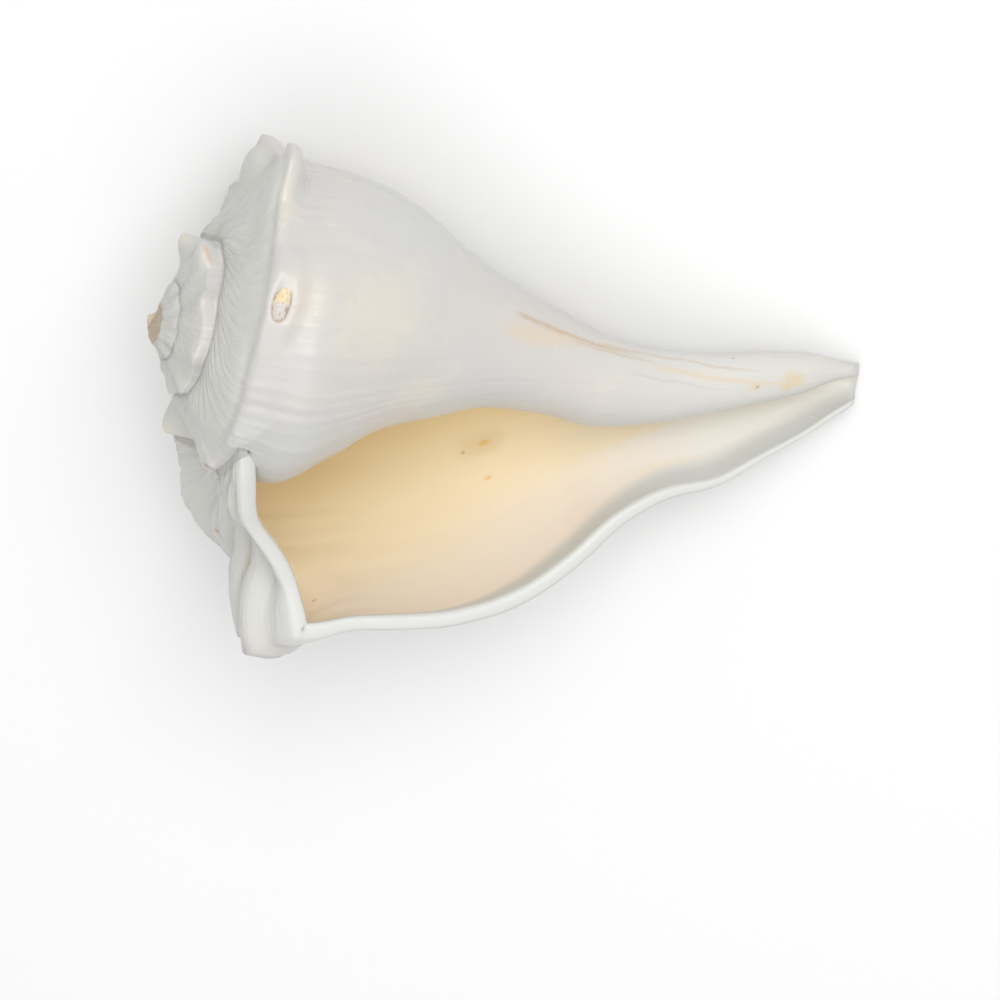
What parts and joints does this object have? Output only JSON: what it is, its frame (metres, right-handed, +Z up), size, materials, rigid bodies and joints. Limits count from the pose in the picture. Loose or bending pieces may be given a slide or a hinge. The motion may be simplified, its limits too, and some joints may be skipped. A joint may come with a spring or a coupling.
{
  "type": "conch shell",
  "caption": "Large left-coiling whelk shell with shoulder knobs, a wide open mouth and a long open canal, lying on its back with the mouth up.",
  "frame": {"origin": "bottom centre of the whole shell's box, on the surface that it rests on", "axes": "+X from the apex towards the canal's end, +Y away from the lip, +Z up, out of the mouth"},
  "size_m": [0.1918, 0.1438, 0.1009],
  "materials": {
    "shell": "satin"
  },
  "bodies": {
    "root": {"conch_shell": "shell"}
  },
  "joints": []
}
